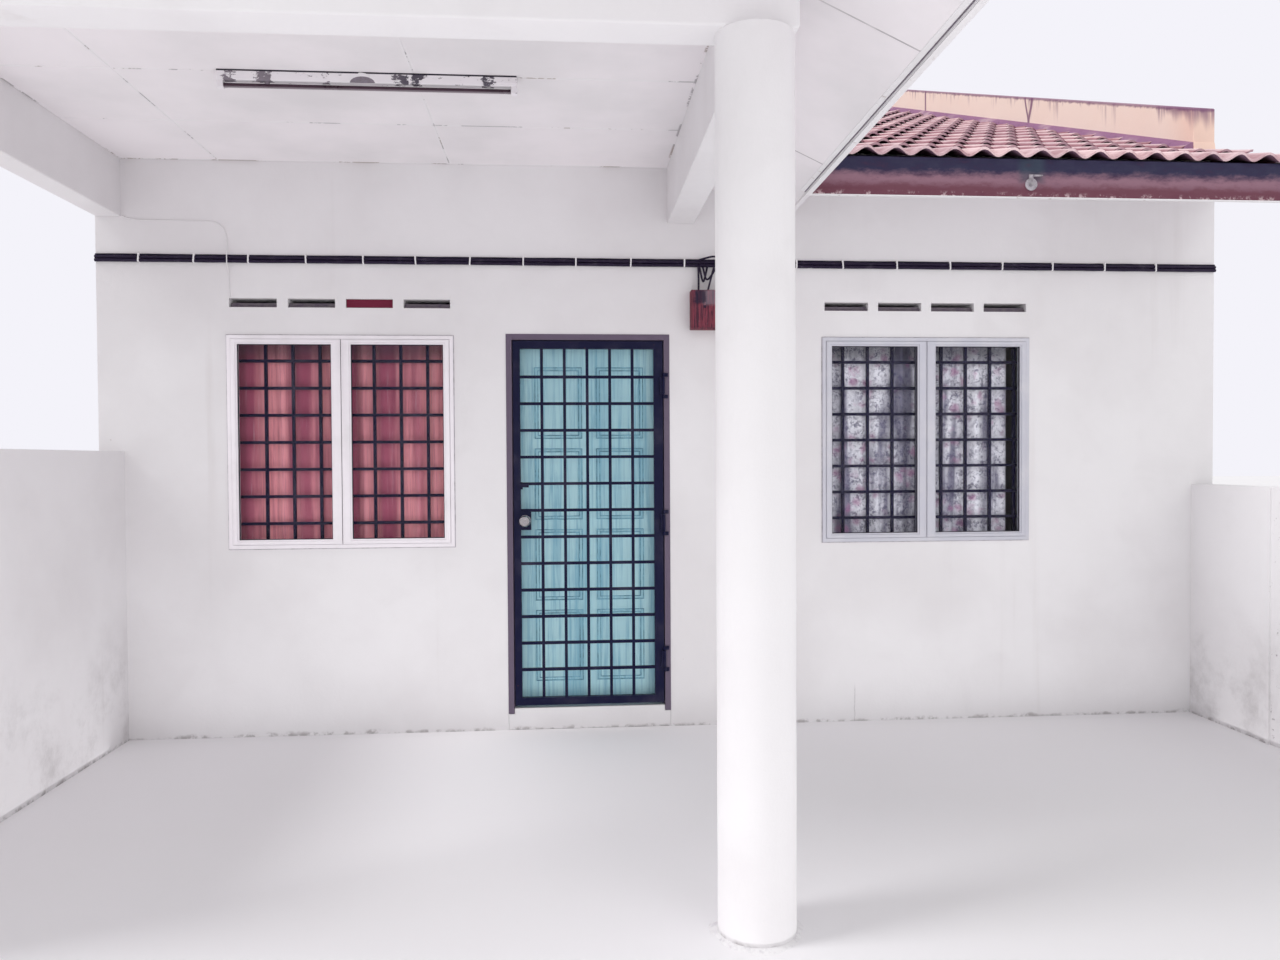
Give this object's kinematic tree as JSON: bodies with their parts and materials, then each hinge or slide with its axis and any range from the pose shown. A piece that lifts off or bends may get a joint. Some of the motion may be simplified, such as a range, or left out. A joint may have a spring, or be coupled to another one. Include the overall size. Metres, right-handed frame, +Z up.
{
  "type": "terraced house",
  "caption": "Single-storey terraced house with a half-gabled porch, round columns, tiled roofs, barred windows, a hinged security grille and a panelled front door.",
  "frame": {"origin": "on the ground, under the middle of the whole outline", "axes": "+X to the right along the front, +Y from the front into the house, +Z up"},
  "size_m": [6.226, 14.74, 5.7185],
  "materials": {
    "plaster_white": "matte painted plaster",
    "floor_screed": "trowelled cement screed",
    "parapet_render": "weathered painted render",
    "ceiling_board": "painted fibre-cement board",
    "roof_tile": "weathered concrete tile",
    "fascia_wood": "weathered paint on timber",
    "frame_white": "white coated",
    "frame_silver": "anodised silver",
    "pane_glass": "clear",
    "bar_steel": "dark navy gloss paint",
    "frame_steel": "dark purple-grey paint",
    "curtain_cloth": "woven cloth",
    "door_skin": "satin turquoise paint",
    "knob_chrome": "polished",
    "box_wood": "weathered paint on timber",
    "cable_sheath": "black sheath",
    "lamp_enamel": "peeling white enamel",
    "tube_glass": "blackened tube"
  },
  "bodies": {
    "house": {"floor_slab": "floor_screed", "door_sill": "plaster_white", "front_wall_left": "plaster_white", "front_wall_right": "plaster_white", "front_wall_upper": "plaster_white", "rear_wall": "plaster_white", "left_party_wall": "plaster_white", "right_party_wall": "plaster_white", "left_parapet": "parapet_render", "right_parapet": "parapet_render", "room_ceiling": "ceiling_board", "main_roof_front": "roof_tile", "main_roof_rear": "roof_tile", "ridge_caps": "roof_tile", "eave_fascias": "fascia_wood", "eave_end_boards": "fascia_wood", "eave_soffits": "ceiling_board", "verge_soffit": "ceiling_board", "porch_columns": "plaster_white", "front_beam": "plaster_white", "side_beams": "plaster_white", "porch_ceiling": "ceiling_board", "porch_roof": "roof_tile", "porch_gable_wall": "plaster_white", "porch_party_wall": "plaster_white", "porch_fascia": "fascia_wood", "barge_board": "fascia_wood", "left_low_wall": "plaster_white", "right_low_wall": "plaster_white", "left_window_frame": "frame_white", "right_window_frame": "frame_silver", "rear_window_frames": "frame_silver", "window_glass": "pane_glass", "window_grilles": "bar_steel", "window_curtains": "curtain_cloth", "door_frame": "frame_steel", "door_hinges": "bar_steel", "rear_door": "door_skin", "meter_box": "box_wood", "wall_cable": "cable_sheath", "porch_lamp": "lamp_enamel", "lamp_tube": "tube_glass"},
    "grille_leaf": {"security_grille": "bar_steel", "grille_knob": "knob_chrome"},
    "door_leaf": {"front_door": "door_skin"}
  },
  "joints": [
    {"name": "security_grille_hinge", "type": "hinge", "parent": "house", "child": "grille_leaf", "pos_m": [-0.094, -4.287, 1.14], "axis": [0, 0, 1], "range_deg": [0, 105]},
    {"name": "front_door_hinge", "type": "hinge", "parent": "house", "child": "door_leaf", "pos_m": [-0.094, -4.132, 1.14], "axis": [0, 0, 1], "range_deg": [-95, 0]}
  ]
}
